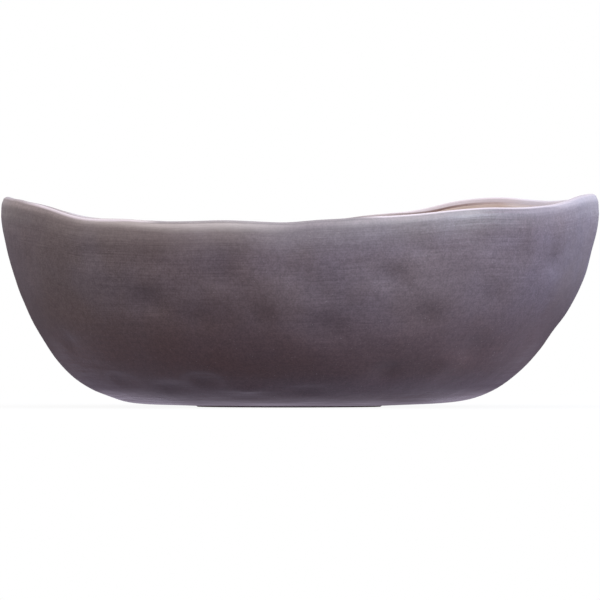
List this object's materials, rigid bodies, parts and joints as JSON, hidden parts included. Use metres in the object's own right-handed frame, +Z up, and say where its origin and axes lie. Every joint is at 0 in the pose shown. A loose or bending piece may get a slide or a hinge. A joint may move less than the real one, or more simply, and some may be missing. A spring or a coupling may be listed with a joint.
{
  "type": "salad bowl",
  "caption": "Hand-formed oval stoneware salad bowl with a wavy rounded rim, a dark satin outside, a glossy beige inside and a low bare foot ring.",
  "frame": {"origin": "on the table, below the middle of the rim's outline", "axes": "+Z up, +X along the longer side towards the higher raised end, -Y towards the front"},
  "size_m": [0.3, 0.28, 0.1066],
  "materials": {
    "clay": "bare fired stoneware, matt and slightly gritty",
    "outer_glaze": "satin taupe glaze, paler where it thins at the lip",
    "rim_line": "brown break line between the two glazes",
    "inner_glaze": "glossy beige glaze"
  },
  "bodies": {
    "root": {"clay_body": "clay", "foot_ring": "clay", "base_glaze": "outer_glaze", "outer_glaze": "outer_glaze", "rim_line": "rim_line", "inner_glaze": "inner_glaze"}
  },
  "joints": []
}
